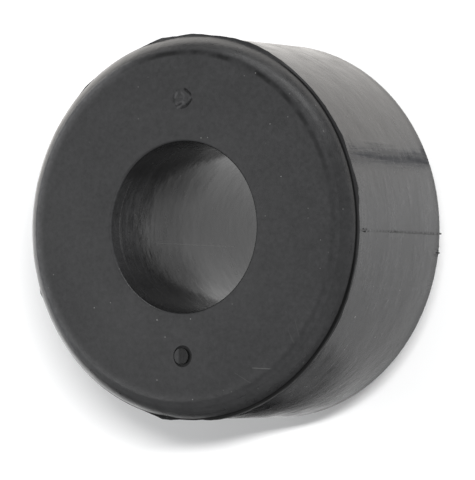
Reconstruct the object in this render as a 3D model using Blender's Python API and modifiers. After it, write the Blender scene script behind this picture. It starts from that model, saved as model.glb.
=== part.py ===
"""Control arm bushing: one piece of moulded black rubber.

The real bushing is pressed over a rod and into a bracket. Here it stands on
the end of its spigot with the bore along +Z, and the origin is the centre of
that end. The bevelled face with the two gate marks looks up. All lengths are
in metres and all angles in degrees, anticlockwise from +X seen from above.
"""

import math

import bpy
from mathutils import Matrix

# Head: the wide cylinder and the bevel round its face
HEAD_RADIUS = 0.0250
HEAD_LENGTH = 0.0237
BEVEL_WIDTH = 0.00216
BEVEL_DEPTH = 0.00208
BEVEL_CROWN = 0.00027

# Spigot: the narrower neck behind the head
SPIGOT_RADIUS = 0.0158
SPIGOT_LENGTH = 0.0143
SPIGOT_CHAMFER = 0.0015
SHOULDER_FILLET = 0.0010

# Bore through both
BORE_RADIUS = 0.01115
BORE_EDGE_ROUND = 0.0004

# Flash left where the mould's plates met, at the bevel and at the shoulder:
# its torn outline as angles and how far it stands out there
FLASH_THICKNESS = 0.0002
FLASH_STUB = 0.00006
FRONT_FLASH = (
    (-162.5, 0.0), (-160.5, 0.00014), (-158.5, 0.0),
    (-107.0, 0.0), (-103.0, 0.00014), (-100.0, 0.00036), (-97.0, 0.00028), (-94.0, 0.00008),
    (-86.0, 0.00008), (-83.0, 0.00028), (-78.0, 0.00040), (-46.0, 0.00041), (-36.0, 0.00050),
    (-31.0, 0.00054), (-24.0, 0.00047), (-12.0, 0.00050), (-3.0, 0.00042), (5.0, 0.00043),
    (10.5, 0.00064), (14.0, 0.00048), (20.0, 0.00040), (26.5, 0.00052), (34.0, 0.00040),
    (50.0, 0.00036), (58.0, 0.00035), (69.0, 0.00044), (75.0, 0.00032), (83.0, 0.00016),
    (90.0, 0.00030), (95.0, 0.00014), (100.5, 0.00030), (106.0, 0.00006), (109.0, 0.0),
    (127.0, 0.0), (131.0, 0.00011), (135.0, 0.0),
)
BACK_FLASH = (
    (-11.5, 0.0), (-9.5, 0.00020), (-3.0, 0.00018), (-1.5, 0.0),
)

# Ridges along the head where the two halves of the mould met
RIDGE_ANGLES = (-1.6, 178.4)
RIDGE_BAR = 0.0008
RIDGE_FRONT_REACH = 0.00008
RIDGE_BACK_REACH = 0.00038

# Marks of the two gates that the rubber came in by, each a shallow well round a torn stub
MARK_ANGLES = (90.0, -90.0)
MARK_CIRCLE_RADIUS = 0.0168
MARK_RADIUS = 0.00142
MARK_DEPTH = 0.00035
STUB_RADIUS = 0.00118
STUB_OFFSET = 0.00014
STUB_HEIGHTS = (0.00023, 0.00029)
STUB_TILTS = (5.0, 1.5)
STUB_RIB_WIDTH = 0.00022
STUB_RIB_HEIGHT = 0.00005

# How finely round shapes are divided
COLUMNS = 120
ROUND_STEPS = 2
BEVEL_STEPS = 4
MARK_SIDES = 28
SMOOTH_ANGLE = math.radians(32)
MERGE_DISTANCE = 0.00001

# Heights that follow from the sizes above
SHOULDER_Z = SPIGOT_LENGTH
FACE_Z = SPIGOT_LENGTH + HEAD_LENGTH
PARTING_Z = FACE_Z - BEVEL_DEPTH


def clear_scene():
    """Remove every object of the scene the script starts in."""
    for obj in list(bpy.data.objects):
        bpy.data.objects.remove(obj, do_unlink=True)


def new_collection(name):
    """Add a collection to the scene and return it."""
    collection = bpy.data.collections.new(name)
    bpy.context.scene.collection.children.link(collection)
    return collection


def rubber_material():
    """Black rubber with a dull sheen."""
    material = bpy.data.materials.new("black_rubber")
    material.use_nodes = True
    shader = material.node_tree.nodes["Principled BSDF"]
    shader.inputs["Base Color"].default_value = (0.045, 0.045, 0.046, 1.0)
    shader.inputs["Roughness"].default_value = 0.55
    shader.inputs["Metallic"].default_value = 0.0
    return material


def arc(centre, radius, start, end, steps):
    """Points of an arc in the section plane, its two ends included."""
    points = []
    for step in range(steps + 1):
        angle = math.radians(start + (end - start) * step / steps)
        points.append((centre[0] + radius * math.cos(angle), centre[1] + radius * math.sin(angle)))
    return points


def bevel_points():
    """The bevel from the face's edge to the parting line, crowned outwards."""
    slant = math.hypot(BEVEL_WIDTH, BEVEL_DEPTH)
    outwards = (BEVEL_DEPTH / slant, BEVEL_WIDTH / slant)
    points = []
    for step in range(BEVEL_STEPS + 1):
        share = step / BEVEL_STEPS
        crown = 4 * BEVEL_CROWN * share * (1 - share)
        across = HEAD_RADIUS - BEVEL_WIDTH * (1 - share) + crown * outwards[0]
        height = FACE_Z - BEVEL_DEPTH * share + crown * outwards[1]
        points.append((across, height))
    return points


def section_points():
    """The moulding's section as a closed loop, down the outside and up the bore."""
    edge = BORE_EDGE_ROUND
    flash_tip = HEAD_RADIUS + FLASH_STUB
    neck = SPIGOT_RADIUS + SHOULDER_FILLET
    points = bevel_points()
    points += [
        (flash_tip, PARTING_Z - FLASH_THICKNESS / 2),
        (HEAD_RADIUS, PARTING_Z - FLASH_THICKNESS),
        (HEAD_RADIUS, SHOULDER_Z + FLASH_THICKNESS),
        (flash_tip, SHOULDER_Z + FLASH_THICKNESS / 2),
        (HEAD_RADIUS, SHOULDER_Z),
    ]
    points += arc((neck, SHOULDER_Z - SHOULDER_FILLET), SHOULDER_FILLET, 90, 180, ROUND_STEPS)
    points += [
        (SPIGOT_RADIUS, SPIGOT_CHAMFER),
        (SPIGOT_RADIUS - SPIGOT_CHAMFER, 0.0),
    ]
    points += arc((BORE_RADIUS + edge, edge), edge, 270, 180, ROUND_STEPS)
    points += arc((BORE_RADIUS + edge, FACE_Z - edge), edge, 180, 90, ROUND_STEPS)
    return points


def flash_reach(angle, outline):
    """How far the flash stands out at an angle, read off its torn outline."""
    for (start, low), (end, high) in zip(outline, outline[1:]):
        if start <= angle <= end:
            return FLASH_STUB + low + (high - low) * (angle - start) / (end - start)
    return FLASH_STUB


def raise_flash(mesh):
    """Draw the two rings of flash out to the reach they have left at each angle."""
    middle_of_head = (PARTING_Z + SHOULDER_Z) / 2
    for vertex in mesh.vertices:
        radius = math.hypot(vertex.co.x, vertex.co.y)
        if radius < HEAD_RADIUS + FLASH_STUB / 2:
            continue
        angle = math.degrees(math.atan2(vertex.co.y, vertex.co.x))
        outline = FRONT_FLASH if vertex.co.z > middle_of_head else BACK_FLASH
        scale = (HEAD_RADIUS + flash_reach(angle, outline)) / radius
        vertex.co.x *= scale
        vertex.co.y *= scale


def turned_body(collection, material):
    """Turn the section about the bore's axis and draw out the flash."""
    points = section_points()
    corners = [(across, 0.0, height) for across, height in points]
    edges = [(i, (i + 1) % len(points)) for i in range(len(points))]
    profile_mesh = bpy.data.meshes.new("section")
    profile_mesh.from_pydata(corners, edges, [])
    profile = bpy.data.objects.new("section", profile_mesh)
    collection.objects.link(profile)

    screw = profile.modifiers.new("turn", "SCREW")
    screw.axis = "Z"
    screw.angle = math.radians(360)
    screw.steps = COLUMNS
    screw.render_steps = COLUMNS
    screw.use_merge_vertices = True
    screw.merge_threshold = MERGE_DISTANCE

    depsgraph = bpy.context.evaluated_depsgraph_get()
    mesh = bpy.data.meshes.new_from_object(profile.evaluated_get(depsgraph))
    bpy.data.objects.remove(profile, do_unlink=True)
    raise_flash(mesh)
    mesh.name = "rubber_bushing"
    mesh.materials.clear()
    mesh.materials.append(material)
    mesh.shade_smooth()
    mesh.set_sharp_from_angle(angle=SMOOTH_ANGLE)
    body = bpy.data.objects.new("rubber_bushing", mesh)
    collection.objects.link(body)
    return body


def file_as_tool(name, tools, material):
    """Keep the newest object out of the model, in the collection of tools."""
    tool = bpy.context.object
    tool.name = name
    for collection in list(tool.users_collection):
        collection.objects.unlink(tool)
    tools.objects.link(tool)
    tool.data.materials.append(material)
    tool.hide_render = True
    tool.display_type = "WIRE"
    return tool


def apply_tool(body, tool, operation):
    """Cut the tool out of the body or join it on."""
    boolean = body.modifiers.new(tool.name, "BOOLEAN")
    boolean.solver = "EXACT"
    boolean.operation = operation
    boolean.object = tool


def parting_ridge(name, angle, tools, material):
    """A square bar turned on its corner, leaning out from the bevel to the shoulder."""
    top = PARTING_Z - FLASH_THICKNESS / 2
    bottom = SHOULDER_Z + FLASH_THICKNESS / 2
    rise = top - bottom
    half_diagonal = RIDGE_BAR / math.sqrt(2)
    middle_reach = (RIDGE_FRONT_REACH + RIDGE_BACK_REACH) / 2
    lean = math.atan2(RIDGE_BACK_REACH - RIDGE_FRONT_REACH, rise)
    bpy.ops.mesh.primitive_cube_add(size=1.0)
    bar = file_as_tool(name, tools, material)
    to_angle = Matrix.Rotation(math.radians(angle), 4, "Z")
    outwards = Matrix.Translation((HEAD_RADIUS + middle_reach - half_diagonal, 0, (top + bottom) / 2))
    leaning = Matrix.Rotation(-lean, 4, "Y")
    on_its_corner = Matrix.Rotation(math.radians(45), 4, "Z")
    stretched = Matrix.Diagonal((RIDGE_BAR, RIDGE_BAR, rise, 1.0))
    bar.data.transform(to_angle @ outwards @ leaning @ on_its_corner @ stretched)
    return bar


def mark_well(name, angle, tools, material):
    """The shallow round well in the face that keeps a torn gate below it."""
    turned = math.radians(angle)
    place = (MARK_CIRCLE_RADIUS * math.cos(turned), MARK_CIRCLE_RADIUS * math.sin(turned), FACE_Z)
    bpy.ops.mesh.primitive_cylinder_add(
        vertices=MARK_SIDES, radius=MARK_RADIUS, depth=2 * MARK_DEPTH, location=place)
    return file_as_tool(name, tools, material)


def gate_stub(name, angle, height, tilt, tools, material):
    """The torn stub in a well, a little to one side and not quite level."""
    turned = math.radians(angle)
    place = (MARK_CIRCLE_RADIUS * math.cos(turned) - STUB_OFFSET,
             MARK_CIRCLE_RADIUS * math.sin(turned),
             FACE_Z - MARK_DEPTH)
    bpy.ops.mesh.primitive_cylinder_add(
        vertices=MARK_SIDES, radius=STUB_RADIUS, depth=2 * height, location=place,
        rotation=(0, math.radians(tilt), 0))
    return file_as_tool(name, tools, material)


def stub_rib(name, angle, height, tools, material):
    """The small rib across the stub of the cleaner mark."""
    turned = math.radians(angle)
    bottom = FACE_Z - MARK_DEPTH
    top = bottom + height + STUB_RIB_HEIGHT
    length = 2 * math.sqrt(STUB_RADIUS ** 2 - STUB_RIB_WIDTH ** 2)
    place = (MARK_CIRCLE_RADIUS * math.cos(turned) - STUB_OFFSET,
             MARK_CIRCLE_RADIUS * math.sin(turned),
             (top + bottom) / 2)
    bpy.ops.mesh.primitive_cube_add(size=1.0)
    rib = file_as_tool(name, tools, material)
    stretched = Matrix.Diagonal((STUB_RIB_WIDTH, length, top - bottom, 1.0))
    rib.data.transform(Matrix.Translation(place) @ stretched)
    return rib


def build():
    """Model the bushing from its turned body, ridges and gate marks."""
    clear_scene()
    parts = new_collection("control_arm_bushing")
    tools = new_collection("cutters")
    rubber = rubber_material()
    body = turned_body(parts, rubber)

    for number, angle in enumerate(RIDGE_ANGLES, 1):
        ridge = parting_ridge(f"ridge_{number}", angle, tools, rubber)
        apply_tool(body, ridge, "UNION")
    for number, angle in enumerate(MARK_ANGLES, 1):
        well = mark_well(f"well_{number}", angle, tools, rubber)
        apply_tool(body, well, "DIFFERENCE")
        height = STUB_HEIGHTS[number - 1]
        stub = gate_stub(f"stub_{number}", angle, height, STUB_TILTS[number - 1], tools, rubber)
        apply_tool(body, stub, "UNION")
    rib = stub_rib("stub_rib", MARK_ANGLES[-1], STUB_HEIGHTS[-1], tools, rubber)
    apply_tool(body, rib, "UNION")


build()
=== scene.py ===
import bpy
import bmesh
import math
from mathutils import Euler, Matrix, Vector, noise


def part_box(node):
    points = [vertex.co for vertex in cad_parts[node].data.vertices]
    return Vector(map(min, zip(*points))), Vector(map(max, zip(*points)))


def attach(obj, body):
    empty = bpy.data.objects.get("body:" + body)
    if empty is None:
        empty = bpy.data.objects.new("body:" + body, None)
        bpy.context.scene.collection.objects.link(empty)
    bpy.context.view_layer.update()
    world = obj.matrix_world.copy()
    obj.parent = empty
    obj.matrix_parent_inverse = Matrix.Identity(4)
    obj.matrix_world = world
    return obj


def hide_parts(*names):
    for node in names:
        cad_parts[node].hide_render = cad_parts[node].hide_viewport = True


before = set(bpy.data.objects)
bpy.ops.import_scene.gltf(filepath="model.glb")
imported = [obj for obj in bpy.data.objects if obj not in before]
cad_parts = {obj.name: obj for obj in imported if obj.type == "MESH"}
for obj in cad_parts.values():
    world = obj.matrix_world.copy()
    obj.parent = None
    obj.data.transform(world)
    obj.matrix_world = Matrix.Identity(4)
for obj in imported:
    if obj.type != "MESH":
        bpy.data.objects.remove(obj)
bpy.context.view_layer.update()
scene = bpy.context.scene
scene.view_settings.view_transform = "Standard"
bpy.ops.object.select_all(action="DESELECT")

# Camera
# A long lens on the photograph's own line of sight, some 32 degrees off the
# bore's axis. The bushing stands on its spigot, so the camera looks down on it.
FACE_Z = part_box("rubber_bushing")[1].z
LENS = 352.9
FRAME_LONG_SIDE = 36.0
DISTANCE = 0.6120
AIM_OFFSET = (0.00715, -0.00168)
TURN_FROM_AXIS = math.radians(31.79)
TILT = math.radians(1.53)
camera_data = bpy.data.cameras.new("camera")
camera_data.lens = LENS
camera_data.sensor_width = FRAME_LONG_SIDE
camera_data.clip_start = 0.01
camera = bpy.data.objects.new("camera", camera_data)
scene.collection.objects.link(camera)
camera.rotation_euler = Euler((TILT, TURN_FROM_AXIS, 0))
line_of_sight = camera.rotation_euler.to_matrix()
camera.location = Vector((0, 0, FACE_Z)) + line_of_sight @ Vector((*AIM_OFFSET, DISTANCE))
scene.camera = camera

# Rubber bushing: the turned moulding
# One moulding of solid black rubber. Its section is drawn as a chain of edges
# and spun round the bore, which keeps the sizes of the solid it stands for.
HEAD_RADIUS = 0.0250
SHOULDER_Z = 0.0143
BEVEL_WIDTH = 0.00216
BEVEL_DEPTH = 0.00208
BEVEL_CROWN = 0.00027
BEVEL_STEPS = 12
CREASE_WIDTH = 0.00020
CREASE_DEPTH = 0.00007
SPIGOT_RADIUS = 0.0158
SPIGOT_CHAMFER = 0.0015
SHOULDER_FILLET = 0.0010
BORE_RADIUS = 0.01115
BORE_EDGE_ROUND = 0.0004
ROUND_STEPS = 6
SIDE_RINGS = 16
COLUMNS = 720
FLASH_THICKNESS = 0.0002
FLASH_TIP_THICKNESS = 0.00011
FLASH_STUB = 0.00004
BACK_STUB = 0.000006
PARTING_Z = FACE_Z - BEVEL_DEPTH
FACE_RADIUS = HEAD_RADIUS - BEVEL_WIDTH
WELD = 0.000002


def arc(centre, radius, start, end, steps):
    """Points of an arc in the section, its two ends included."""
    points = []
    for step in range(steps + 1):
        angle = math.radians(start + (end - start) * step / steps)
        points.append((centre[0] + radius * math.cos(angle), centre[1] + radius * math.sin(angle)))
    return points


def bevel_points():
    """The crowned bevel, from the crease round the face down to the parting line."""
    slant = math.hypot(BEVEL_WIDTH, BEVEL_DEPTH)
    points = []
    for step in range(BEVEL_STEPS + 1):
        share = step / BEVEL_STEPS
        crown = 4 * BEVEL_CROWN * share * (1 - share) / slant
        across = FACE_RADIUS + BEVEL_WIDTH * share + crown * BEVEL_DEPTH
        height = FACE_Z - BEVEL_DEPTH * share + crown * BEVEL_WIDTH
        points.append((across, height))
    points[0] = (FACE_RADIUS, FACE_Z - CREASE_DEPTH)
    return points


def flash_points(height, stub):
    """The root of a thin fin standing out of the side below a height."""
    thin = (FLASH_THICKNESS - FLASH_TIP_THICKNESS) / 2
    tip = HEAD_RADIUS + stub
    return [(tip, height - thin), (tip, height - FLASH_THICKNESS + thin),
            (HEAD_RADIUS, height - FLASH_THICKNESS)]


def section_points():
    """The whole section, down the outside and up the bore."""
    points = [(FACE_RADIUS - CREASE_WIDTH, FACE_Z)]
    points += bevel_points()
    points += flash_points(PARTING_Z, FLASH_STUB)
    side_top = PARTING_Z - FLASH_THICKNESS
    side_bottom = SHOULDER_Z + FLASH_THICKNESS
    for ring in range(1, SIDE_RINGS):
        points.append((HEAD_RADIUS, side_top + (side_bottom - side_top) * ring / SIDE_RINGS))
    points.append((HEAD_RADIUS, side_bottom))
    points += flash_points(side_bottom, BACK_STUB)
    neck = (SPIGOT_RADIUS + SHOULDER_FILLET, SHOULDER_Z - SHOULDER_FILLET)
    points += arc(neck, SHOULDER_FILLET, 90, 180, ROUND_STEPS)
    points += [(SPIGOT_RADIUS, SPIGOT_CHAMFER), (SPIGOT_RADIUS - SPIGOT_CHAMFER, 0.0)]
    edge = BORE_EDGE_ROUND
    points += arc((BORE_RADIUS + edge, edge), edge, 270, 180, ROUND_STEPS)
    points += arc((BORE_RADIUS + edge, FACE_Z - edge), edge, 180, 90, ROUND_STEPS)
    return points


section = section_points()
bpy.ops.mesh.primitive_plane_add(size=0.001)
bushing = bpy.context.object
bushing.name = "moulded_bushing"
bushing.data.name = "moulded_bushing"
bpy.ops.object.mode_set(mode="EDIT")
bpy.ops.mesh.merge(type="CENTER")
bpy.ops.transform.translate(value=(section[0][0], 0, section[0][1]))
for here, there in zip(section, section[1:]):
    step = (there[0] - here[0], 0, there[1] - here[1])
    bpy.ops.mesh.extrude_vertices_move(TRANSFORM_OT_translate={"value": step})
chain = bmesh.from_edit_mesh(bushing.data)
for vertex in chain.verts:
    vertex.select = len(vertex.link_edges) == 1
chain.select_flush_mode()
bpy.ops.mesh.edge_face_add()
bpy.ops.mesh.select_all(action="SELECT")
bpy.ops.mesh.spin(steps=COLUMNS, angle=math.radians(360), center=(0, 0, 0), axis=(0, 0, 1))
bpy.ops.mesh.select_all(action="SELECT")
bpy.ops.mesh.remove_doubles(threshold=WELD)
bpy.ops.mesh.normals_make_consistent(inside=False)
bpy.ops.object.mode_set(mode="OBJECT")

# Rubber bushing: flash
# Thin fins that squeezed out where the mould's plates met, torn off by hand.
# Each outline gives angles and how far the torn edge stands out there.
FRONT_FLASH = (
    (-162.5, 0.0), (-160.5, 0.00014), (-158.5, 0.0),
    (-107.0, 0.0), (-103.0, 0.00014), (-100.0, 0.00036), (-97.0, 0.00028), (-94.0, 0.00008),
    (-86.0, 0.00008), (-83.0, 0.00028), (-78.0, 0.00040), (-46.0, 0.00041), (-36.0, 0.00050),
    (-31.0, 0.00054), (-24.0, 0.00047), (-12.0, 0.00050), (-3.0, 0.00042), (5.0, 0.00043),
    (10.5, 0.00064), (14.0, 0.00048), (20.0, 0.00040), (26.5, 0.00052), (34.0, 0.00040),
    (50.0, 0.00036), (58.0, 0.00035), (69.0, 0.00044), (75.0, 0.00032), (83.0, 0.00016),
    (90.0, 0.00030), (95.0, 0.00014), (100.5, 0.00030), (106.0, 0.00006), (109.0, 0.0),
    (127.0, 0.0), (131.0, 0.00011), (135.0, 0.0),
)
BACK_FLASH = (
    (-8.5, 0.0), (-7.5, 0.00006), (-6.5, 0.0),
)
FULL_REACH = 0.0008
RAGGED_SCALE = 900.0
RAGGED_WAVES = (1.0, 2.0, 3)
RAGGED_SHARE = 0.13
FLASH_DROOP = 0.00016
DROOP_SCALE = 160.0


def flash_reach(place, outline):
    """How far the fin stands out at a place on the rim, torn and a little ragged."""
    angle = math.degrees(math.atan2(place.y, place.x))
    ragged = 1 + RAGGED_SHARE * noise.fractal(place * RAGGED_SCALE, *RAGGED_WAVES)
    for (start, low), (end, high) in zip(outline, outline[1:]):
        if start <= angle <= end:
            return (low + (high - low) * (angle - start) / (end - start)) * ragged
    return 0.0


reaches = bushing.vertex_groups.new(name="reach")
droops = bushing.vertex_groups.new(name="droop")
for vertex in bushing.data.vertices:
    if math.hypot(vertex.co.x, vertex.co.y) > HEAD_RADIUS + BACK_STUB / 2:
        is_front = vertex.co.z > (PARTING_Z + SHOULDER_Z) / 2
        reach = flash_reach(vertex.co, FRONT_FLASH if is_front else BACK_FLASH)
        share = min(1.0, reach / (FULL_REACH - FLASH_STUB))
        reaches.add([vertex.index], share, "REPLACE")
        wave = 0.5 + noise.noise(vertex.co * DROOP_SCALE)
        droops.add([vertex.index], min(1.0, max(0.0, wave)) * share * is_front, "REPLACE")
bpy.context.view_layer.objects.active = bushing
bpy.ops.object.modifier_add(type="CAST")
cast = bushing.modifiers[-1]
cast.cast_type = "CYLINDER"
cast.use_z = False
cast.factor = 1.0
cast.radius = 0.0
cast.size = HEAD_RADIUS + FULL_REACH
cast.use_radius_as_size = False
cast.vertex_group = "reach"
bpy.ops.object.modifier_apply(modifier=cast.name)
bpy.ops.object.modifier_add(type="DISPLACE")
droop = bushing.modifiers[-1]
droop.direction = "Z"
droop.mid_level = 0.0
droop.strength = FLASH_DROOP
droop.vertex_group = "droop"
bpy.ops.object.modifier_apply(modifier=droop.name)

# Rubber bushing: gate marks
# Two shallow wells round the gates that the rubber came in by. The upper stub
# tore off roughly and the lower one came away nearly clean.
MARK_CIRCLE = 0.0168
MARK_RADIUS = 0.00142
MARK_DEPTH = 0.00035
MARK_SIDES = 72
STUB_RINGS = 15
# Stubs: radius, how far aside of the mark's centre and least height
TORN_STUB = (0.00145, 0.0, 0.00008)
CLEAN_STUB = (0.00104, 0.00026, 0.00008)
TEAR_HEIGHT = 0.00026
# Torn surfaces: waves per metre, and how the finer waves fade, how much finer each is and how many
TEAR_SCALE = 2600.0
TEAR_WAVES = (0.9, 2.0, 3)
# Each tear runs from one point to another about the mark's centre, in metres, with its rise
TEARS = (
    ((0.00032, 0.00113), (0.00116, 0.00048), -1.0),
    ((0.00134, -0.00020), (0.00056, -0.00094), -1.0),
    ((0.00050, -0.00100), (-0.00018, -0.00128), -0.6),
    ((0.00014, -0.00060), (-0.00074, -0.00120), 1.0),
    ((-0.00022, -0.00070), (-0.00098, -0.00090), -0.6),
    ((-0.00006, -0.00040), (-0.00098, -0.00074), 0.7),
    ((-0.00120, 0.00014), (-0.00090, 0.00070), 1.0),
    ((-0.00022, 0.00070), (0.00018, 0.00024), 0.6),
    ((-0.00038, 0.00016), (0.00008, -0.00004), 0.5),
    ((0.00108, -0.00004), (0.00086, -0.00040), 0.5),
    ((-0.00136, 0.00040), (-0.00142, -0.00046), -0.4),
)
TEAR_WIDTH = 0.00013
# Heights on a stub are shares of TEAR_HEIGHT; the torn one's rim gives its start and width
TEAR_RISE = 0.6
STUB_BASE = 0.70
TORN_UNEVEN = 0.30
TORN_RIM = (0.00120, 0.00020)
TORN_LIMIT = 0.98
# The clean stub: a step's place, width and rise, a rib's place, half-sizes and rise, a pit's ends
CUT_STEP = (-0.00035, 0.00040, 0.24)
CUT_RIB = (0.00002, 0.00012, 0.00045, 0.12)
CUT_PIT = ((-0.00020, -0.00106), (0.0, -0.00112))
CUT_PIT_WIDTH = 0.00012
CUT_PIT_DROP = 0.40
CUT_UNEVEN = 0.06
CUT_LIMIT = 0.97


def distance_to_line(point, start, end):
    """Distance in the plane from a point to the stretch between two others."""
    along = Vector(end) - Vector(start)
    share = min(1.0, max(0.0, (point - Vector(start)).dot(along) / along.length_squared))
    return (point - Vector(start) - along * share).length


def cut_or_join(body, tool, operation):
    """Cut the tool out of the body or join it on, and remove the tool."""
    bpy.ops.object.select_all(action="DESELECT")
    bpy.context.view_layer.objects.active = body
    body.select_set(True)
    bpy.ops.object.modifier_add(type="BOOLEAN")
    boolean = body.modifiers[-1]
    boolean.solver = "EXACT"
    boolean.operation = operation
    boolean.object = tool
    bpy.ops.object.modifier_apply(modifier=boolean.name)
    bpy.data.objects.remove(tool)


def gate_stub(centre_y, radius, aside, height):
    """A stub's cylinder with rings of points on its top, ready to be torn."""
    bpy.ops.mesh.primitive_cylinder_add(
        vertices=MARK_SIDES, radius=radius, depth=2 * height,
        location=(-aside, centre_y, FACE_Z - MARK_DEPTH))
    stub = bpy.context.object
    bpy.ops.object.transform_apply(location=True)
    bpy.ops.object.mode_set(mode="EDIT")
    bpy.ops.mesh.select_mode(type="FACE")
    shell = bmesh.from_edit_mesh(stub.data)
    for face in shell.faces:
        face.select = face.normal.z > 0.9
    for ring in range(STUB_RINGS - 1):
        bpy.ops.mesh.inset(thickness=radius / STUB_RINGS, depth=0)
    bpy.ops.mesh.poke()
    bpy.ops.object.mode_set(mode="OBJECT")
    return stub


def torn_height(point):
    """How high the torn surface stands at a point about its mark's centre, from 0 to 1."""
    height = STUB_BASE + TORN_UNEVEN * noise.fractal(point.to_3d() * TEAR_SCALE, *TEAR_WAVES)
    for start, end, rise in TEARS:
        away = distance_to_line(point, start, end)
        height += TEAR_RISE * rise * math.exp(-(away / TEAR_WIDTH) ** 2)
    at_rim = min(1.0, max(0.0, (point.length - TORN_RIM[0]) / TORN_RIM[1]))
    return min(TORN_LIMIT, max(0.0, height)) * (1 - at_rim) + TORN_LIMIT * at_rim


def cut_height(point):
    """How high the clean stub stands: a step across its middle, a low rib and a pit."""
    step_x, step_width, step_rise = CUT_STEP
    rib_x, rib_width, rib_length, rib_rise = CUT_RIB
    height = STUB_BASE + step_rise * min(1.0, max(0.0, (step_x - point.x) / step_width))
    height += rib_rise * math.exp(-((point.x - rib_x) / rib_width) ** 2 - (point.y / rib_length) ** 2)
    height -= CUT_PIT_DROP * math.exp(-(distance_to_line(point, *CUT_PIT) / CUT_PIT_WIDTH) ** 2)
    height += CUT_UNEVEN * noise.fractal(point.to_3d() * TEAR_SCALE, *TEAR_WAVES)
    return min(CUT_LIMIT, max(0.0, height))


def tear_top(stub, centre_y, torn):
    """Raise the top of a stub by the height that a function gives for each point."""
    bpy.ops.object.select_all(action="DESELECT")
    bpy.context.view_layer.objects.active = stub
    heights = stub.vertex_groups.new(name="torn")
    for vertex in stub.data.vertices:
        if vertex.co.z > FACE_Z - MARK_DEPTH:
            point = Vector((vertex.co.x, vertex.co.y - centre_y))
            heights.add([vertex.index], torn(point), "REPLACE")
    bpy.ops.object.modifier_add(type="DISPLACE")
    tear = stub.modifiers[-1]
    tear.direction = "Z"
    tear.mid_level = 0.0
    tear.strength = TEAR_HEIGHT
    tear.vertex_group = "torn"
    bpy.ops.object.modifier_apply(modifier=tear.name)


for side in (1, -1):
    bpy.ops.mesh.primitive_cylinder_add(
        vertices=MARK_SIDES, radius=MARK_RADIUS, depth=2 * MARK_DEPTH,
        location=(0, side * MARK_CIRCLE, FACE_Z))
    cut_or_join(bushing, bpy.context.object, "DIFFERENCE")
torn_stub = gate_stub(MARK_CIRCLE, *TORN_STUB)
tear_top(torn_stub, MARK_CIRCLE, torn_height)
cut_or_join(bushing, torn_stub, "UNION")
clean_stub = gate_stub(-MARK_CIRCLE, *CLEAN_STUB)
tear_top(clean_stub, -MARK_CIRCLE, cut_height)
cut_or_join(bushing, clean_stub, "UNION")

# Rubber bushing: parting ridges
# A low thin fin down each side of the head where the two halves of the mould
# met, leaning out to the shoulder. Torn crumbs hang on at its ends.
RIDGE_ANGLES = (-1.6, 178.4)
RIDGE_THICKNESS = 0.00023
RIDGE_ROOT = HEAD_RADIUS - 0.0003
# How far a ridge stands out at its two ends, and the power by which it grows between them
RIDGE_REACH = (0.00009, 0.00034)
RIDGE_LEAN = 1.6
RIDGE_LEAST = 0.00002
RIDGE_FULL = 0.001
RIDGE_CUTS = 110
RIDGE_RAGGED = 0.00007
RAGGED_ALONG = 60
RIDGE_WAVES = (0.8, 2.0, 3)
RIDGE_SWAY = 0.00005
SWAY_ALONG = 14
CRUMB_UNEVEN = 0.35
SMOOTH_BELOW = math.radians(28)
# Crumbs: angle, distance from the bore's axis, height and half-size
CRUMBS = (
    (-1.2, 0.02504, FACE_Z - 0.00375, 0.00014),
    (-1.7, 0.02505, FACE_Z - 0.00420, 0.00020),
    (-1.3, 0.02504, FACE_Z - 0.00460, 0.00013),
    (-1.9, 0.02503, FACE_Z - 0.00500, 0.00012),
    (-5.3, 0.02505, SHOULDER_Z + 0.00012, 0.00009),
    (-7.3, 0.02516, SHOULDER_Z + 0.00014, 0.00012),
    (-6.7, 0.02506, SHOULDER_Z + 0.00012, 0.00008),
)

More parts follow.
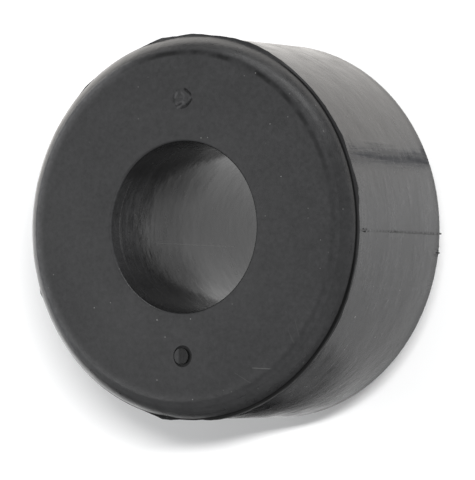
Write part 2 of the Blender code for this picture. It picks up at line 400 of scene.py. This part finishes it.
for number, angle in enumerate(RIDGE_ANGLES):
    low, high = SHOULDER_Z + FLASH_THICKNESS / 2, PARTING_Z - FLASH_THICKNESS / 2
    bpy.ops.mesh.primitive_grid_add(x_subdivisions=2, y_subdivisions=RIDGE_CUTS, size=1)
    ridge = bpy.context.object
    outer = ridge.vertex_groups.new(name="outer")
    swayed = ridge.vertex_groups.new(name="sway")
    for vertex in ridge.data.vertices:
        share = 0.5 - vertex.co.y
        lean = RIDGE_REACH[0] + (RIDGE_REACH[1] - RIDGE_REACH[0]) * share ** RIDGE_LEAN
        torn_at = Vector((number * 7.0, vertex.co.y * RAGGED_ALONG, 0))
        ragged = RIDGE_RAGGED * noise.fractal(torn_at, *RIDGE_WAVES)
        reach = HEAD_RADIUS + max(RIDGE_LEAST, lean + ragged) - RIDGE_ROOT
        outer.add([vertex.index], reach / RIDGE_FULL * (vertex.co.x + 0.5), "REPLACE")
        sway_at = Vector((number, vertex.co.y * SWAY_ALONG, 3.0))
        swayed.add([vertex.index], 0.5 + 0.5 * noise.noise(sway_at), "REPLACE")
    ridge.scale = (RIDGE_LEAST, high - low, 1)
    ridge.rotation_euler = (math.radians(90), 0, 0)
    ridge.location = (RIDGE_ROOT, 0, (low + high) / 2)
    bpy.ops.object.transform_apply(location=True, rotation=True, scale=True)
    for group, direction, strength in (("outer", "X", RIDGE_FULL), ("sway", "Y", RIDGE_SWAY)):
        bpy.ops.object.modifier_add(type="DISPLACE")
        shift = ridge.modifiers[-1]
        shift.direction = direction
        shift.mid_level = 0.0
        shift.strength = strength
        shift.vertex_group = group
        bpy.ops.object.modifier_apply(modifier=shift.name)
    bpy.ops.object.modifier_add(type="SOLIDIFY")
    thicken = ridge.modifiers[-1]
    thicken.thickness = RIDGE_THICKNESS
    thicken.offset = 0.0
    bpy.ops.object.modifier_apply(modifier=thicken.name)
    bpy.ops.object.mode_set(mode="EDIT")
    bpy.ops.mesh.select_all(action="SELECT")
    bpy.ops.mesh.normals_make_consistent(inside=False)
    bpy.ops.object.mode_set(mode="OBJECT")
    ridge.rotation_euler = (0, 0, math.radians(angle))
    bpy.ops.object.transform_apply(rotation=True)
    cut_or_join(bushing, ridge, "UNION")

crumbs = []
for number, (angle, away, height, half) in enumerate(CRUMBS):
    turned = math.radians(angle)
    bpy.ops.mesh.primitive_ico_sphere_add(
        subdivisions=2, radius=half, location=(away * math.cos(turned), away * math.sin(turned), height))
    crumb = bpy.context.object
    bpy.ops.object.transform_apply(location=True)
    bpy.ops.object.mode_set(mode="EDIT")
    bpy.ops.mesh.select_all(action="SELECT")
    bpy.ops.transform.vertex_random(offset=half * CRUMB_UNEVEN, seed=number)
    bpy.ops.object.mode_set(mode="OBJECT")
    crumbs.append(crumb)
for crumb in crumbs:
    crumb.select_set(True)
bpy.ops.object.join()
cut_or_join(bushing, bpy.context.object, "UNION")
bpy.ops.object.select_all(action="DESELECT")
bushing.select_set(True)
bpy.context.view_layer.objects.active = bushing
bpy.ops.object.shade_smooth_by_angle(angle=SMOOTH_BELOW)

# Rubber bushing: its finish
# Black rubber, matt on the face where the mould was blasted and smoother
# round the side, in the bore and on the thin flash.
EDGE_BLUR = 0.00006
# The share of a speck's radius or a scratch's half-width that has its full strength
SPECK_CORE = 0.4
SCRATCH_CORE = 0.3


def put(tree, kind, **values):
    """Add a node and set the inputs or properties named."""
    node = tree.nodes.new(kind)
    for name, value in values.items():
        setattr(node, name, value)
    return node


def feed(tree, socket, value):
    """Link a socket to an input, or set a number or a triple on it."""
    if isinstance(value, bpy.types.NodeSocket):
        tree.links.new(value, socket)
    elif isinstance(value, tuple) and socket.type == "RGBA":
        socket.default_value = (*value, 1.0)
    else:
        socket.default_value = value


def math_node(tree, operation, *values, clamp=False):
    """A Math node fed by sockets or plain numbers; returns its output."""
    node = put(tree, "ShaderNodeMath", operation=operation, use_clamp=clamp)
    for socket, value in zip(node.inputs, values):
        feed(tree, socket, value)
    return node.outputs[0]


def times(tree, first, *others):
    """The product of several masks, each a socket or a plain number."""
    for other in others:
        first = math_node(tree, "MULTIPLY", first, other)
    return first


def ramp_up(tree, value, start, end):
    """0 before start, 1 past end and a smooth step between them."""
    node = put(tree, "ShaderNodeMapRange", interpolation_type="SMOOTHSTEP")
    feed(tree, node.inputs["Value"], value)
    node.inputs["From Min"].default_value = start
    node.inputs["From Max"].default_value = end
    return node.outputs[0]


def map_range(tree, value, start, end, low, high):
    """Straight-line change from low to high between two values, level beyond them."""
    node = put(tree, "ShaderNodeMapRange")
    feed(tree, node.inputs["Value"], value)
    for name, number in zip(("From Min", "From Max", "To Min", "To Max"), (start, end, low, high)):
        node.inputs[name].default_value = number
    return node.outputs[0]


def blend(tree, share, first, second):
    """Mix two numbers or sockets by a share from 0 to 1."""
    node = put(tree, "ShaderNodeMix", data_type="FLOAT")
    for socket, value in zip((node.inputs[0], node.inputs[2], node.inputs[3]), (share, first, second)):
        feed(tree, socket, value)
    return node.outputs[0]


def blend_colour(tree, share, first, second):
    """Mix two colours or sockets by a share from 0 to 1."""
    node = put(tree, "ShaderNodeMix", data_type="RGBA")
    for socket, value in zip((node.inputs[0], node.inputs[6], node.inputs[7]), (share, first, second)):
        feed(tree, socket, value)
    return node.outputs[2]


def stretched_noise(tree, place, waves, detail, roughness):
    """Noise on object coordinates, with its own number of waves per metre each way."""
    mapping = put(tree, "ShaderNodeMapping")
    tree.links.new(place, mapping.inputs["Vector"])
    mapping.inputs["Scale"].default_value = waves
    texture = put(tree, "ShaderNodeTexNoise")
    tree.links.new(mapping.outputs[0], texture.inputs["Vector"])
    texture.inputs["Scale"].default_value = 1.0
    texture.inputs["Detail"].default_value = detail
    texture.inputs["Roughness"].default_value = roughness
    return texture.outputs["Fac"]


def vector_node(tree, operation, first, second=(0.0, 0.0, 0.0)):
    """A Vector Math node fed by sockets or triples; returns the node."""
    node = put(tree, "ShaderNodeVectorMath", operation=operation)
    feed(tree, node.inputs[0], first)
    feed(tree, node.inputs[1], second)
    return node


def speck(tree, place, centre, size):
    """1 inside a small round speck and 0 away from it."""
    away = vector_node(tree, "DISTANCE", place, centre).outputs["Value"]
    return ramp_up(tree, away, size, size * SPECK_CORE)


def scratch(tree, place, start, end, width):
    """1 along a short straight scratch and 0 away from it."""
    along = Vector(end) - Vector(start)
    from_start = vector_node(tree, "SUBTRACT", place, start).outputs[0]
    per_length = tuple(along / along.length_squared)
    share = vector_node(tree, "DOT_PRODUCT", from_start, per_length).outputs["Value"]
    share = math_node(tree, "ADD", share, 0.0, clamp=True)
    back = put(tree, "ShaderNodeVectorMath", operation="SCALE")
    back.inputs[0].default_value = along
    tree.links.new(share, back.inputs["Scale"])
    away = vector_node(tree, "DISTANCE", from_start, back.outputs[0]).outputs["Value"]
    return ramp_up(tree, away, width, width * SCRATCH_CORE)


rubber = bpy.data.materials.new("black_rubber")
rubber.use_nodes = True
tree = rubber.node_tree
shader = tree.nodes["Principled BSDF"]
place = put(tree, "ShaderNodeTexCoord").outputs["Object"]
split = put(tree, "ShaderNodeSeparateXYZ")
tree.links.new(place, split.inputs[0])
across, along, height = split.outputs
across_squared = math_node(tree, "MULTIPLY", across, across)
radius = math_node(tree, "SQRT", math_node(tree, "MULTIPLY_ADD", along, along, across_squared))

# Where each kind of surface lies: the two places, in metres, between which its mask rises
TOP_EDGE = (FACE_Z - 0.00042, FACE_Z - 0.00036)
BEVEL_EDGE = (PARTING_Z - EDGE_BLUR, PARTING_Z + EDGE_BLUR)
FLASH_EDGE = (HEAD_RADIUS + 0.00003, HEAD_RADIUS + 0.00009)
FLASH_HEIGHT = (PARTING_Z - 0.0020, PARTING_Z - 0.0010)
FLASH_TIP = (HEAD_RADIUS + 0.00036, HEAD_RADIUS + 0.00028)
SHADED_SIDE = (-0.002, -0.007)
ROOT_MIDDLE = HEAD_RADIUS + 0.00002
ROOT_WIDTH = (0.00013, 0.00006)
ROOT_HEIGHT = (PARTING_Z - 0.00012, PARTING_Z - 0.00004)
ROOT_END = (0.0225, 0.0190)
RIDGE_WIDTH = (0.00019, 0.00009)
RIDGE_FOOT = (HEAD_RADIUS - 0.0002, HEAD_RADIUS - 0.0001)
RIDGE_FADE = (FACE_Z - 0.0040, FACE_Z - 0.0110)
RIM_BAND = (FACE_RADIUS - 0.0014, FACE_RADIUS)
BORE_EDGE = (BORE_RADIUS + 0.00030, BORE_RADIUS + 0.00010)
MOUTH_DEPTH = (FACE_Z - 0.0090, FACE_Z - 0.0040)
MOUTH_SIDE = (-0.0080, -0.0105)
MARK_EDGE = (MARK_RADIUS, MARK_RADIUS - 0.00006)
CUT_SIDE = (-0.00078, -0.00038)
PIT_DEPTH = (FACE_Z - 0.00020, FACE_Z - 0.00030)
is_top = ramp_up(tree, height, *TOP_EDGE)
is_bevel = ramp_up(tree, height, *BEVEL_EDGE)
is_flash = times(tree, ramp_up(tree, radius, *FLASH_EDGE), ramp_up(tree, height, *FLASH_HEIGHT))
# Painted shade on the fin: a dark line along its root, and its lower side inside the torn tip
from_root = math_node(tree, "ABSOLUTE", math_node(tree, "SUBTRACT", radius, ROOT_MIDDLE))
is_root_shade = times(tree, ramp_up(tree, from_root, *ROOT_WIDTH), ramp_up(tree, height, *ROOT_HEIGHT),
                ramp_up(tree, along, *ROOT_END))
is_shaded = times(tree, ramp_up(tree, along, *SHADED_SIDE), ramp_up(tree, radius, *FLASH_TIP))
from_ridge = math_node(tree, "MULTIPLY_ADD", across, math.sin(math.radians(-RIDGE_ANGLES[0])), along)
is_ridge = times(tree, ramp_up(tree, math_node(tree, "ABSOLUTE", from_ridge), *RIDGE_WIDTH),
                 ramp_up(tree, radius, *RIDGE_FOOT), ramp_up(tree, height, *RIDGE_FADE))
is_rim = times(tree, is_top, ramp_up(tree, radius, *RIM_BAND))
is_bore = ramp_up(tree, radius, *BORE_EDGE)
# The bore's left wall near its mouth, where light is painted
is_lit_mouth = times(tree, ramp_up(tree, height, *MOUTH_DEPTH), ramp_up(tree, across, *MOUTH_SIDE))
folded_place = vector_node(tree, "ABSOLUTE", place).outputs[0]
to_mark = vector_node(tree, "DISTANCE", folded_place, (0.0, MARK_CIRCLE, FACE_Z)).outputs["Value"]
is_mark = ramp_up(tree, to_mark, *MARK_EDGE)
is_cut = times(tree, is_mark, math_node(tree, "LESS_THAN", along, 0.0), ramp_up(tree, across, *CUT_SIDE))
is_pit_shade = times(tree, is_mark, ramp_up(tree, height, *PIT_DEPTH))

# Waves per metre each way: the face's grain, the turned grain round the side and in the bore,
# slow and cloudy changes over all of it, and the streaks of the flow mark along the side
grain = stretched_noise(tree, place, (1700.0, 1700.0, 1700.0), 4.0, 0.65)
turned_grain = stretched_noise(tree, place, (70.0, 70.0, 1700.0), 3.0, 0.6)
slow = stretched_noise(tree, place, (140.0, 140.0, 200.0), 4.0, 0.6)
cloudy = stretched_noise(tree, place, (420.0, 420.0, 300.0), 3.0, 0.5)
flow = stretched_noise(tree, place, (400.0, 1500.0, 90.0), 2.0, 0.5)

# Tones: one for each kind of surface, with painted shade in the bore, the crease, the fin's root and
# lower side, the marks' wells and the tears' dips, and painted light at the bore's mouth, along the
# face's left edge and on the tears' ridges
FACE_TONE = 0.0265
BEVEL_TONE = 0.022
SIDE_TONE = 0.030
BORE_SHADE_TONE = 0.017
MOUTH_LIGHT_TONE = 0.035
CREASE_SHADE_TONE = 0.004
EDGE_GLOW_TONE = 0.075
RIDGE_TONE = 0.006
FLASH_TONE = 0.011
ROOT_SHADE_TONE = 0.001
CUT_TONE = 0.007
PIT_SHADE_TONE = 0.004
TEAR_HIGHLIGHT_TONE = 0.050
SHADED_TONE = 0.005
CREASE_MIDDLE = FACE_RADIUS - 0.0001
CREASE_BAND = (0.0005, 0.0001)
CREASE_FADE = (0.004, 0.019, 0.25, 1.0)
CREASE_GAPS = (0.30, 0.60)
# Painted light along the face's left edge: a band at the face's rim, the side where it shows and its
# fade towards the bottom
EDGE_GLOW_BAND = (FACE_RADIUS - 0.0011, FACE_RADIUS, 0.0, 1.0)
EDGE_GLOW_SIDE = (-0.004, -0.014)
EDGE_GLOW_FADE = (-0.0225, -0.008, 0.15, 1.0)
TEAR_LINE = 0.00027
TEAR_DEPTH = 0.00006
tone = blend(tree, is_bevel, SIDE_TONE, BEVEL_TONE)
tone = blend(tree, is_top, tone, FACE_TONE)
# Painted shade: the bore's wall is darker than the side. Painted light: its left wall near the mouth is
# paler
tone = blend(tree, is_bore, tone, blend(tree, is_lit_mouth, BORE_SHADE_TONE, MOUTH_LIGHT_TONE))
# Painted shade: a dark broken line in the crease round the face, stronger towards the top
from_crease = math_node(tree, "ABSOLUTE", math_node(tree, "SUBTRACT", radius, CREASE_MIDDLE))
is_crease_shade = times(tree, ramp_up(tree, from_crease, *CREASE_BAND), is_bevel,
                  map_range(tree, along, *CREASE_FADE), ramp_up(tree, cloudy, *CREASE_GAPS))
tone = blend(tree, is_crease_shade, tone, CREASE_SHADE_TONE)
# Painted light: a pale glow along the face's left edge, fading towards the bottom
glow_band = times(tree, is_top, map_range(tree, radius, *EDGE_GLOW_BAND))
painted_edge_glow = times(tree, glow_band, glow_band, ramp_up(tree, across, *EDGE_GLOW_SIDE),
                  map_range(tree, along, *EDGE_GLOW_FADE))
tone = blend(tree, painted_edge_glow, tone, EDGE_GLOW_TONE)
tone = blend(tree, is_ridge, tone, RIDGE_TONE)
# The fin's lower side and a line along its root are painted shade
tone = blend(tree, is_flash, tone, blend(tree, is_shaded, FLASH_TONE, ROOT_SHADE_TONE))
tone = blend(tree, is_root_shade, tone, ROOT_SHADE_TONE)
tone = blend(tree, is_cut, tone, CUT_TONE)
# Painted highlights along the torn stub's raised tears and painted shade along its dips
for start, end, rise in TEARS:
    ends = [(x, MARK_CIRCLE + y, FACE_Z - TEAR_DEPTH) for x, y in (start, end)]
    line = math_node(tree, "MULTIPLY", scratch(tree, place, *ends, TEAR_LINE), abs(rise))
    tone = blend(tree, line, tone, TEAR_HIGHLIGHT_TONE if rise > 0 else SHADED_TONE)
# Painted shade low in the marks' wells, round and under the stubs
tone = blend(tree, is_pit_shade, tone, PIT_SHADE_TONE)

# How far each grain changes the tone, as a share and a base
GRAIN_MOTTLE = (1.1, 0.45)
CLOUD_MOTTLE = (0.5, 0.75)
SLOW_MOTTLE = (0.4, 0.8)
RING_MOTTLE = (1.2, 0.4)
mottle = times(tree, math_node(tree, "MULTIPLY_ADD", grain, *GRAIN_MOTTLE),
               math_node(tree, "MULTIPLY_ADD", cloudy, *CLOUD_MOTTLE),
               math_node(tree, "MULTIPLY_ADD", slow, *SLOW_MOTTLE))
ring_tone = math_node(tree, "MULTIPLY_ADD", turned_grain, *RING_MOTTLE)
tone = times(tree, tone, mottle, blend(tree, is_bevel, ring_tone, 1.0))

# Roughness: high on the blasted face, low round the side, and changed by wear and flow
FACE_ROUGHNESS = 0.62
RIM_ROUGHNESS = 0.35
BEVEL_ROUGHNESS = 0.31
SIDE_ROUGHNESS = 0.21
BORE_ROUGHNESS = 0.22
FLASH_ROUGHNESS = 0.40
ROOT_ROUGHNESS = 0.75
FLOW_LINES_Y = 0.0094
FLOW_BAND = (0.0026, 0.0008)
FLOW_RADIUS = (0.0240, 0.0245)
FLOW_TOP = (PARTING_Z, PARTING_Z - 0.0008)
FLOW_SIDE = (0.0, 0.005)
CLOUD_WEAR = (0.24, -0.12)
STREAK_WEAR = 0.9
RING_WEAR = 0.20
RING_MEAN = 0.10
roughness = blend(tree, is_bevel, SIDE_ROUGHNESS, BEVEL_ROUGHNESS)
roughness = blend(tree, is_top, roughness, FACE_ROUGHNESS)
roughness = blend(tree, is_rim, roughness, RIM_ROUGHNESS)
roughness = blend(tree, is_ridge, roughness, BEVEL_ROUGHNESS)
roughness = blend(tree, is_bore, roughness, BORE_ROUGHNESS)
roughness = blend(tree, is_flash, roughness, blend(tree, is_shaded, FLASH_ROUGHNESS, ROOT_ROUGHNESS))
roughness = blend(tree, is_root_shade, roughness, ROOT_ROUGHNESS)
from_flow = math_node(tree, "ABSOLUTE", math_node(tree, "SUBTRACT", along, FLOW_LINES_Y))
by_flow = times(tree, ramp_up(tree, from_flow, *FLOW_BAND), ramp_up(tree, radius, *FLOW_RADIUS),
                ramp_up(tree, height, *FLOW_TOP), ramp_up(tree, across, *FLOW_SIDE))
streak = math_node(tree, "MULTIPLY", math_node(tree, "SUBTRACT", flow, 0.5), by_flow)
worn = math_node(tree, "MULTIPLY_ADD", cloudy, *CLOUD_WEAR)
worn = math_node(tree, "MULTIPLY_ADD", streak, STREAK_WEAR, worn)
worn = math_node(tree, "MULTIPLY_ADD", turned_grain, RING_WEAR, worn)
roughness = math_node(tree, "ADD", roughness, math_node(tree, "SUBTRACT", worn, RING_MEAN))

# Pale dust: fine grains anywhere, and the larger specks and scratches that show
DUST_COLOUR = (0.34, 0.34, 0.33)
DUST_ROUGHNESS = 0.8
DUST_CELLS = 620.0
DUST_GRAIN = (0.065, 0.030)
DUST_LEFT_OUT = 0.62
DUST_STRENGTH = 0.22
SPECK_STRENGTH = 0.45
# Specks: place and radius
SPECKS = (
    ((0.00284, 0.01153, FACE_Z), 0.00011), ((0.00383, 0.01157, FACE_Z), 0.00009),
    ((0.01114, 0.01970, FACE_Z), 0.00010), ((0.01333, 0.01306, FACE_Z), 0.00010),
    ((0.01498, 0.00627, FACE_Z), 0.00010), ((-0.00394, -0.01206, FACE_Z), 0.00013),
    ((-0.00270, -0.01429, FACE_Z), 0.00010), ((0.00123, -0.01196, FACE_Z), 0.00011),
    ((-0.00394, -0.01989, FACE_Z), 0.00011), ((0.00154, -0.02241, FACE_Z), 0.00011),
    ((-0.02023, -0.00598, FACE_Z), 0.00009), ((-0.01376, -0.01040, FACE_Z), 0.00012),
    ((-0.01120, -0.00975, FACE_Z), 0.00009),
    ((0.02225, 0.01197, FACE_Z - 0.0006), 0.00045), ((0.02206, -0.01176, FACE_Z - 0.00669), 0.00016),
)
# Scratches: two ends, half-width and strength; the last runs along the bore
SCRATCHES = (
    ((0.01068, -0.01832, FACE_Z), (0.01393, -0.01845, FACE_Z), 0.00007, 0.17),
    ((0.01498, -0.01896, FACE_Z), (0.01528, -0.01934, FACE_Z), 0.00010, 0.20),
    ((0.00803, -0.01897, FACE_Z), (0.01020, -0.02016, FACE_Z), 0.00006, 0.06),
    ((0.01020, -0.02016, FACE_Z), (0.01212, -0.02089, FACE_Z), 0.00006, 0.07),
    ((0.01708, -0.01217, FACE_Z), (0.01782, -0.01474, FACE_Z), 0.00006, 0.05),
    ((0.01603, -0.01345, FACE_Z), (0.01723, -0.01576, FACE_Z), 0.00006, 0.05),
    ((-0.01102, -0.00170, 0.0270), (-0.01102, -0.00174, 0.0075), 0.00007, 0.12),
)
cells = put(tree, "ShaderNodeTexVoronoi", feature="F1", distance="EUCLIDEAN")
tree.links.new(place, cells.inputs["Vector"])
cells.inputs["Scale"].default_value = DUST_CELLS
picked = put(tree, "ShaderNodeSeparateColor")
tree.links.new(cells.outputs["Color"], picked.inputs[0])
dust = times(tree, ramp_up(tree, cells.outputs["Distance"], *DUST_GRAIN),
             math_node(tree, "GREATER_THAN", picked.outputs[0], DUST_LEFT_OUT), DUST_STRENGTH)
for centre, size in SPECKS:
    spot = math_node(tree, "MULTIPLY", speck(tree, place, centre, size), SPECK_STRENGTH)
    dust = math_node(tree, "MAXIMUM", dust, spot)
for start, end, width, strength in SCRATCHES:
    line = math_node(tree, "MULTIPLY", scratch(tree, place, start, end, width), strength)
    dust = math_node(tree, "MAXIMUM", dust, line)
RUBBER_TINT = (1.0, 1.0, 1.03)
colour = put(tree, "ShaderNodeCombineColor")
for channel, tint in zip(colour.inputs, RUBBER_TINT):
    tree.links.new(math_node(tree, "MULTIPLY", tone, tint), channel)
dusty = blend_colour(tree, dust, colour.outputs[0], DUST_COLOUR)
roughness = blend(tree, dust, roughness, DUST_ROUGHNESS)
tree.links.new(dusty, shader.inputs["Base Color"])
tree.links.new(roughness, shader.inputs["Roughness"])
shader.inputs["IOR"].default_value = 1.52

# The grain as a surface: fine on the face, in rings round the side, uneven on the bevel
GRAIN_DEPTH = 0.000020
SIDE_GRAIN_DEPTH = GRAIN_DEPTH * 0.05
TURNED_DEPTH = 0.000014
UNEVEN_DEPTH = 0.00010
FLOW_DEPTH = 0.000030
BORE_RINGS_LOST = 0.6
ring_loss = math_node(tree, "MAXIMUM", is_bevel, math_node(tree, "MULTIPLY", is_bore, BORE_RINGS_LOST))
ring_zone = math_node(tree, "SUBTRACT", 1.0, ring_loss)
relief = math_node(tree, "MULTIPLY", grain, blend(tree, is_bevel, SIDE_GRAIN_DEPTH, GRAIN_DEPTH))
rings = math_node(tree, "MULTIPLY", turned_grain, TURNED_DEPTH)
relief = math_node(tree, "MULTIPLY_ADD", rings, ring_zone, relief)
relief = math_node(tree, "MULTIPLY_ADD", slow, UNEVEN_DEPTH, relief)
relief = math_node(tree, "MULTIPLY_ADD", math_node(tree, "MULTIPLY", flow, by_flow), FLOW_DEPTH, relief)
bump = put(tree, "ShaderNodeBump")
bump.inputs["Strength"].default_value = 1.0
bump.inputs["Distance"].default_value = 1.0
tree.links.new(relief, bump.inputs["Height"])
tree.links.new(bump.outputs[0], shader.inputs["Normal"])
bushing.data.materials.append(rubber)

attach(bushing, "root")
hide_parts("rubber_bushing")

# Floor
# A white table top that the bushing stands on. It carries the soft shadow. For
# mirrored rays alone it glows with a painted reflection of a bright table, with painted
# shade close in front of the head, under it and inside the bore, and a painted dark
# stripe at its right where a card's edge would be.
FLOOR_SIZE = 6.0
FLOOR_WHITE = (0.85, 0.85, 0.85)
NO_LIGHT = (0.0, 0.0, 0.0)
FLOOR_LIFT = 0.12
FLOOR_GLOW = 0.97
bpy.ops.object.select_all(action="DESELECT")
bpy.ops.mesh.primitive_plane_add(size=FLOOR_SIZE, location=(0, 0, 0))
floor = bpy.context.object
floor.name = "floor"
paint = bpy.data.materials.new("white_table")
paint.use_nodes = True
tree = paint.node_tree
tree.nodes.clear()
place = put(tree, "ShaderNodeTexCoord").outputs["Object"]
split = put(tree, "ShaderNodeSeparateXYZ")
tree.links.new(place, split.inputs[0])
across, along = split.outputs[:2]
across_squared = math_node(tree, "MULTIPLY", across, across)
away = math_node(tree, "SQRT", math_node(tree, "MULTIPLY_ADD", along, along, across_squared))

# Painted glow for mirrored rays in front of the head and beside it: two places in metres, then the level
# at each
DEPTH_SLANT = 0.15
FRONT_RISE = (-0.0340, -0.0294, 0.0, 0.72)
FRONT_LEAST = (-0.0040, 0.0070, 0.0, 0.18)
MIDDLE_RISE = (-0.028, 0.010, 0.0, 0.65)
BACK_FALL = (0.022, 0.040, 1.0, 0.85)
depth = math_node(tree, "MULTIPLY_ADD", across, DEPTH_SLANT, along)
near = map_range(tree, depth, *FRONT_RISE)
near = math_node(tree, "MAXIMUM", near, map_range(tree, across, *FRONT_LEAST))
near = math_node(tree, "ADD", near, map_range(tree, depth, *MIDDLE_RISE))
near = math_node(tree, "MULTIPLY", near, map_range(tree, along, *BACK_FALL))

# Painted shadow in the glow under the head, and a painted lift in the glow just beside it
UNDER_OUTSIDE = (0.0255, 0.0210)
UNDER_INSIDE = (0.0130, 0.0145)
UNDER_CHANGE = -0.85
BESIDE_OUTSIDE = (0.038, 0.031)
BESIDE_BACK = (0.018, 0.004)
BESIDE_CHANGE = 0.23
under_shade = times(tree, ramp_up(tree, away, *UNDER_OUTSIDE), ramp_up(tree, away, *UNDER_INSIDE))
beside_lift = times(tree, ramp_up(tree, away, *BESIDE_OUTSIDE), ramp_up(tree, along, *BESIDE_BACK))
near = times(tree, near, math_node(tree, "MULTIPLY_ADD", under_shade, UNDER_CHANGE, 1.0),
             math_node(tree, "MULTIPLY_ADD", beside_lift, BESIDE_CHANGE, 1.0))

# The painted glow inside the bore: painted shade off its middle and painted light under its right edge
BORE_RING = (0.0125, 0.0110)
BORE_OFF_MIDDLE = (0.0030, 0.0070)
BORE_LEFT = (0.0045, 0.0005)
BORE_LEFT_DIM = 0.40
BORE_MIDDLE_DIM = (0.0010, 0.0040, 0.23, 0.42)
BORE_RIGHT_LIFT = (0.0072, 0.0105, 0.0, -0.70)
off_middle = times(tree, ramp_up(tree, math_node(tree, "ABSOLUTE", along), *BORE_OFF_MIDDLE),
                   ramp_up(tree, across, *BORE_LEFT))
dimmed = math_node(tree, "ADD", map_range(tree, across, *BORE_MIDDLE_DIM),
                   map_range(tree, across, *BORE_RIGHT_LIFT))
dimmed = math_node(tree, "MULTIPLY_ADD", off_middle, BORE_LEFT_DIM, dimmed)
inside = times(tree, ramp_up(tree, away, *BORE_RING), -1.0, dimmed)
near = math_node(tree, "MULTIPLY", near, math_node(tree, "ADD", inside, 1.0))

# The painted glow of the table further off
SURROUND_EDGE = (0.045, 0.062)
SURROUND_GLOW = 1.35
LEFT_RISE = (-0.060, -0.030, 1.45, 1.0)
NEAR_END = (-0.130, -0.060, 0.0, 1.0)
FAR_RISE = (0.060, 0.300, 0.0, 0.9)
near = blend(tree, ramp_up(tree, away, *SURROUND_EDGE), near, SURROUND_GLOW)
near = times(tree, near, map_range(tree, across, *LEFT_RISE), map_range(tree, along, *NEAR_END))
glow_level = math_node(tree, "ADD", near, map_range(tree, along, *FAR_RISE))

# A painted dark stripe in the glow, where a card's edge would be: a slanting line, how it widens, how
# soft it is and where it starts
DARK_STRIPE_SLOPE = (0.68, -0.73)
DARK_STRIPE_OFFSET = 0.01044
DARK_STRIPE_SPREAD = (0.10, -0.0018)
DARK_STRIPE_EDGE = (0.0014, -0.0004)
DARK_STRIPE_START = (0.022, 0.026)
DARK_STRIPE_CHANGE = -0.72
dark_stripe = math_node(tree, "MULTIPLY_ADD", across, DARK_STRIPE_SLOPE[1], DARK_STRIPE_OFFSET)
dark_stripe = math_node(tree, "MULTIPLY_ADD", along, DARK_STRIPE_SLOPE[0], dark_stripe)
dark_stripe_half = math_node(tree, "MULTIPLY_ADD", across, *DARK_STRIPE_SPREAD)
from_dark_stripe = math_node(tree, "SUBTRACT", math_node(tree, "ABSOLUTE", dark_stripe), dark_stripe_half)
dark_stripe = times(tree, ramp_up(tree, from_dark_stripe, *DARK_STRIPE_EDGE), ramp_up(tree, across, *DARK_STRIPE_START))
glow_level = times(tree, glow_level, math_node(tree, "MULTIPLY_ADD", dark_stripe, DARK_STRIPE_CHANGE, 1.0), FLOOR_GLOW)

# A painted warm tint from behind the bushing and a painted cool tint on the dark stripe, for mirrored
# rays alone
PLAIN_LIGHT = (1.0, 1.0, 1.0)
WARM_LIGHT = (1.03, 1.0, 0.965)
COOL_LIGHT = (0.97, 0.99, 1.06)
WARM_START = (0.004, 0.030)
paths = put(tree, "ShaderNodeLightPath")
mirrored = math_node(tree, "MAXIMUM", paths.outputs["Is Glossy Ray"],
                     paths.outputs["Is Transmission Ray"])
strength = math_node(tree, "MULTIPLY", paths.outputs["Is Camera Ray"], FLOOR_LIFT)
strength = math_node(tree, "MULTIPLY_ADD", mirrored, glow_level, strength)
tint = blend_colour(tree, ramp_up(tree, along, *WARM_START), PLAIN_LIGHT, WARM_LIGHT)
tint = blend_colour(tree, dark_stripe, tint, COOL_LIGHT)
tint = blend_colour(tree, paths.outputs["Is Camera Ray"], tint, PLAIN_LIGHT)
lift = put(tree, "ShaderNodeEmission")
tree.links.new(tint, lift.inputs["Color"])
tree.links.new(strength, lift.inputs["Strength"])
white = put(tree, "ShaderNodeBsdfDiffuse")
feed(tree, white.inputs["Color"], FLOOR_WHITE)
unlit = put(tree, "ShaderNodeBsdfDiffuse")
feed(tree, unlit.inputs["Color"], NO_LIGHT)
surface = put(tree, "ShaderNodeMixShader")
tree.links.new(mirrored, surface.inputs[0])
tree.links.new(white.outputs[0], surface.inputs[1])
tree.links.new(unlit.outputs[0], surface.inputs[2])
both = put(tree, "ShaderNodeAddShader")
tree.links.new(surface.outputs[0], both.inputs[0])
tree.links.new(lift.outputs[0], both.inputs[1])
output = put(tree, "ShaderNodeOutputMaterial")
tree.links.new(both.outputs[0], output.inputs["Surface"])
floor.data.materials.append(paint)

# Lights
# A softbox behind the camera gives the light and the shadow, and a wide one
# beyond the top of the picture the bevel's highlight. A weak one at the lower
# right, a small one left of the face and a cool surround fill in.
LIGHTS_AIM = (0, 0, 0.03)
SURROUND_COLOUR = (0.97, 0.985, 1, 1)
SURROUND_STRENGTH = 0.33
# Lamps: name, place, size, power in watts and whether a surface mirrors it
LAMPS = (
    ("key_softbox", (0.650, 0.098, 1.02), (0.05, 0.24), 13.5, False),
    ("far_softbox", (0.16, 0.75, 0.42), (0.80, 0.22), 1.4, True),
    ("low_softbox", (0.24, -0.56, 0.32), (0.60, 0.30), 0.17, True),
    ("side_softbox", (-0.10, -0.01, 0.16), (0.10, 0.04), 0.047, True),
)
for name, spot, size, power, is_mirrored in LAMPS:
    lamp_data = bpy.data.lights.new(name, "AREA")
    lamp_data.shape = "RECTANGLE"
    lamp_data.size, lamp_data.size_y = size
    lamp_data.energy = power
    lamp = bpy.data.objects.new(name, lamp_data)
    scene.collection.objects.link(lamp)
    lamp.location = spot
    lamp.rotation_euler = (Vector(LIGHTS_AIM) - lamp.location).to_track_quat("-Z", "Y").to_euler()
    lamp.visible_glossy = is_mirrored

world = bpy.data.worlds.new("studio")
scene.world = world
world.use_nodes = True
surround = world.node_tree.nodes["Background"]
surround.inputs["Color"].default_value = SURROUND_COLOUR
surround.inputs["Strength"].default_value = SURROUND_STRENGTH
